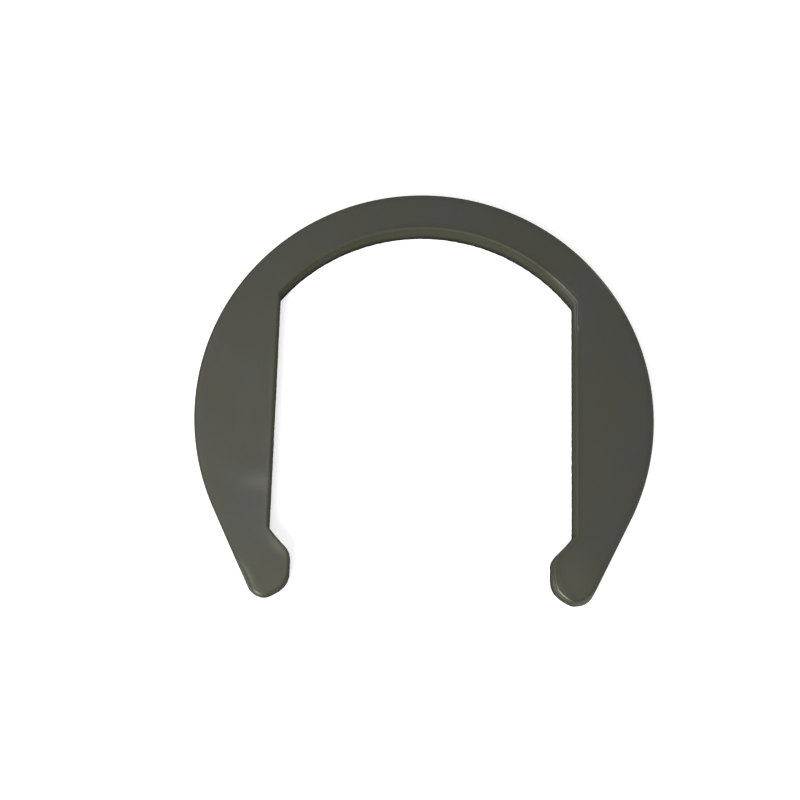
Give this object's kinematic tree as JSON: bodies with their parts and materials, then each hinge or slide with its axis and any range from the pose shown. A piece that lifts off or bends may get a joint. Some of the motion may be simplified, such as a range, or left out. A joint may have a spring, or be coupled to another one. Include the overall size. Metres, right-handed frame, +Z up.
{
  "type": "axle clip",
  "caption": "Flat horseshoe-shaped spring-steel clip with hooked leg ends that snaps sideways into the slots of a round axle and keeps a wheel or washer on it.",
  "frame": {"origin": "centre of the axle in the clip's lower face", "axes": "+Z up, square to the strip; +X across the legs; +Y from the mouth to the arch"},
  "size_m": [0.0304, 0.0277, 0.0022],
  "materials": {
    "spring_steel": "tumbled, dark phosphated and oiled spring steel, satin"
  },
  "bodies": {
    "root": {"axle_clip": "spring_steel"}
  },
  "joints": []
}
